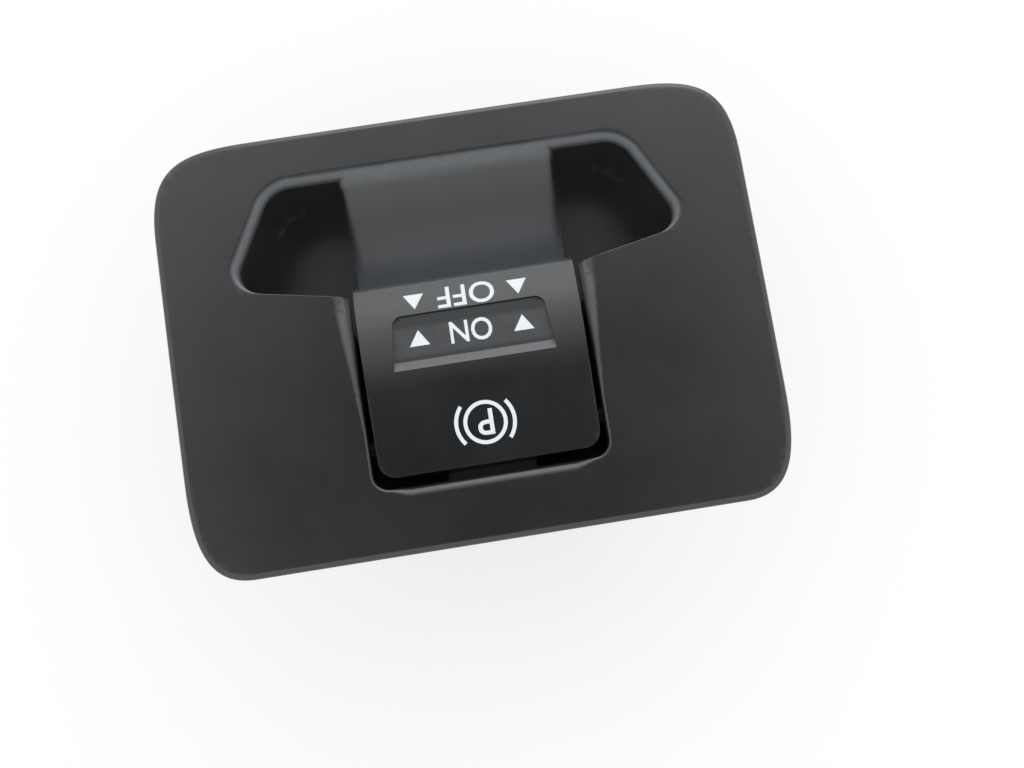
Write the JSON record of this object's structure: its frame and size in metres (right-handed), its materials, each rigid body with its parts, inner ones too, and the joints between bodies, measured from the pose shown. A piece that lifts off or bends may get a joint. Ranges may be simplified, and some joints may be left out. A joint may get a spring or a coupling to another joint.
{
  "type": "parking brake switch",
  "caption": "Console switch for an electric parking brake: a hinged paddle set in a bezel with finger pockets, pushed to lock and pulled to release.",
  "frame": {"origin": "centre of the plate, at the level of the rear cover that the unit rests on", "axes": "+X along the plate's width, +Y towards the paddle's hinged end, +Z out of the plate's face"},
  "size_m": [0.084, 0.0612, 0.034],
  "materials": {
    "bezel_plastic": "fine satin texture, dark grey",
    "paddle_plastic": "fine satin texture, near black",
    "carrier_plastic": "moulded",
    "milky_plastic": "milky",
    "steel": "plated",
    "spring_steel": "drawn",
    "rubber": "soft",
    "slider_plastic": "moulded",
    "contact_brass": "plated",
    "board_laminate": "lacquered",
    "component_plastic": "moulded",
    "led_resin": "clear",
    "clear_plastic": "clear",
    "header_plastic": "moulded",
    "housing_plastic": "moulded",
    "seal_foam": "closed-cell foam"
  },
  "bodies": {
    "switch_body": {"bezel": "bezel_plastic", "bezel_seal": "seal_foam", "bezel_screws": "steel", "clip_left": "spring_steel", "clip_right": "spring_steel", "switch_housing": "housing_plastic", "rear_cover": "housing_plastic", "cover_screws": "steel", "board_screws": "steel", "pivot_pin": "steel", "push_return_springs": "spring_steel", "pull_return_spring": "spring_steel", "push_buffers": "rubber", "pull_buffers": "rubber", "light_guide": "clear_plastic", "leds": "led_resin", "circuit_board": "board_laminate", "contact_tracks": "contact_brass", "board_components": "component_plastic", "connector_header": "header_plastic", "connector_terminals": "contact_brass"},
    "paddle": {"paddle": "paddle_plastic", "paddle_carrier": "carrier_plastic", "legend_diffuser": "milky_plastic"},
    "slider": {"contact_slider": "slider_plastic", "wiper_contacts": "contact_brass"}
  },
  "joints": [
    {"name": "paddle_hinge", "type": "hinge", "parent": "switch_body", "child": "paddle", "pos_m": [0, 0.0155, 0.028], "axis": [-1, 0, 0], "range_deg": [-4, 10], "stiffness_Nm_per_rad": 0.5, "deforming": ["push_return_springs", "pull_return_spring"]},
    {"name": "slider_slide", "type": "slide", "parent": "switch_body", "child": "slider", "axis": [0, 1, 0], "range_m": [-0.003, 0.0013]}
  ],
  "couplings": [
    {"joint": "slider_slide", "follows": "paddle_hinge", "m_per_rad": -0.0165}
  ]
}
